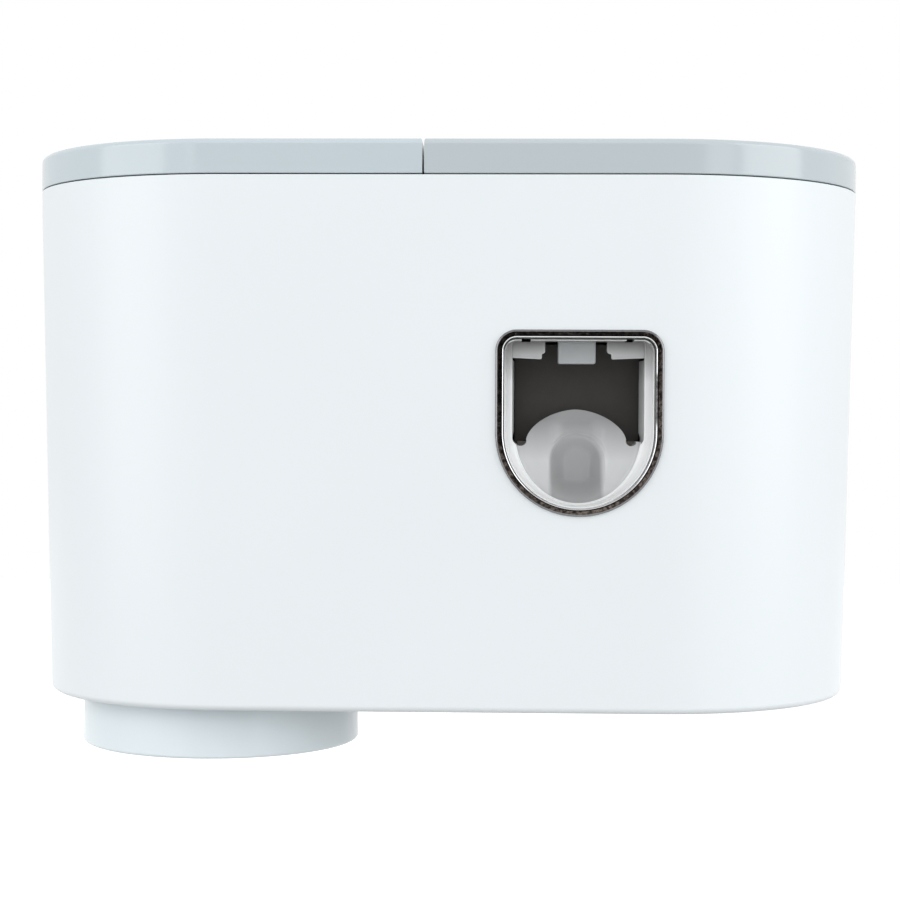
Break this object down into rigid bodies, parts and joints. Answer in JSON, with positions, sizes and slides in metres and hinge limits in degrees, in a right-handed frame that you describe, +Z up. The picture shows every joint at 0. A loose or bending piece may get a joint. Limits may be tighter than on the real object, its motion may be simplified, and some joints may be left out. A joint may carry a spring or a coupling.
{
  "type": "toothbrush holder with toothpaste dispenser",
  "caption": "Wall-held white toothbrush holder with hinged grey lids, a chrome-ringed toothpaste dispenser window, a brush rack and a magnet-held rinse cup.",
  "frame": {"origin": "centre of the adhesive pad's back face, which sticks to the wall", "axes": "+X to the right for a person facing the holder, +Y into the wall, +Z up"},
  "size_m": [0.232, 0.1053, 0.1642],
  "materials": {
    "body_white": "smooth white ABS, soft gloss",
    "cup_white": "smooth white plastic, soft gloss",
    "lid_grey": "pale cool grey plastic, satin",
    "inner_white": "white plastic, satin",
    "chrome": "bright plated ring",
    "bezel_white": "white plastic, soft gloss",
    "nozzle_grey": "grey plastic, satin",
    "charcoal": "dark plastic, matte",
    "silicone": "translucent grey silicone, modelled opaque",
    "steel": "plain zinc-plated steel",
    "magnet": "dark plated magnet",
    "pad": "soft clear-grey adhesive foam"
  },
  "bodies": {
    "wall_mount": {"wall_plate": "inner_white", "adhesive_pad": "pad"},
    "housing": {"front_shell": "body_white", "back_plate": "inner_white", "hinge_rail": "lid_grey", "hinge_pin_left_outer": "steel", "hinge_pin_left_inner": "steel", "hinge_pin_right_inner": "steel", "hinge_pin_right_outer": "steel", "storage_tray": "inner_white", "cup_deck": "inner_white", "cup_magnet": "magnet", "brush_rack": "inner_white", "partition_wall": "inner_white", "bottom_cover": "body_white", "window_trim": "chrome", "window_bezel": "bezel_white", "dispenser_case": "charcoal", "case_rear_cover": "charcoal", "pump_bulb": "silicone", "nozzle": "nozzle_grey", "outlet_valve": "silicone", "inlet_valve": "silicone", "channel_block": "bezel_white", "tube_adapter": "inner_white", "adapter_seal": "silicone", "return_spring_left": "steel", "return_spring_right": "steel", "guide_pin_left": "steel", "guide_pin_right": "steel", "housing_screw_1": "steel", "case_screw_1": "steel", "housing_screw_2": "steel", "case_screw_2": "steel", "housing_screw_3": "steel", "case_screw_3": "steel", "housing_screw_4": "steel", "case_screw_4": "steel"},
    "left_lid": {"left_lid": "lid_grey"},
    "right_lid": {"right_lid": "lid_grey"},
    "pusher": {"pusher": "bezel_white", "press_plate": "charcoal"},
    "cup": {"rinse_cup": "cup_white", "cup_steel_disc": "steel", "cup_base_cap": "cup_white"}
  },
  "joints": [
    {"name": "body_lift", "type": "slide", "parent": "wall_mount", "child": "housing", "axis": [0, 0, 1], "range_m": [0, 0.006]},
    {"name": "left_lid_hinge", "type": "hinge", "parent": "housing", "child": "left_lid", "pos_m": [-0.05905, -0.02, 0.0624], "axis": [-1, 0, 0], "range_deg": [0, 95]},
    {"name": "right_lid_hinge", "type": "hinge", "parent": "housing", "child": "right_lid", "pos_m": [0.05445, -0.02, 0.0624], "axis": [-1, 0, 0], "range_deg": [0, 95]},
    {"name": "pusher_slide", "type": "slide", "parent": "housing", "child": "pusher", "axis": [0, 1, 0], "range_m": [0, 0.012], "stiffness_N_per_m": 150, "springref_m": -0.006, "deforming": ["return_spring_left", "return_spring_right", "pump_bulb"]},
    {"name": "cup_pull", "type": "slide", "parent": "housing", "child": "cup", "axis": [0, 0, -1], "range_m": [0, 0.09]}
  ]
}
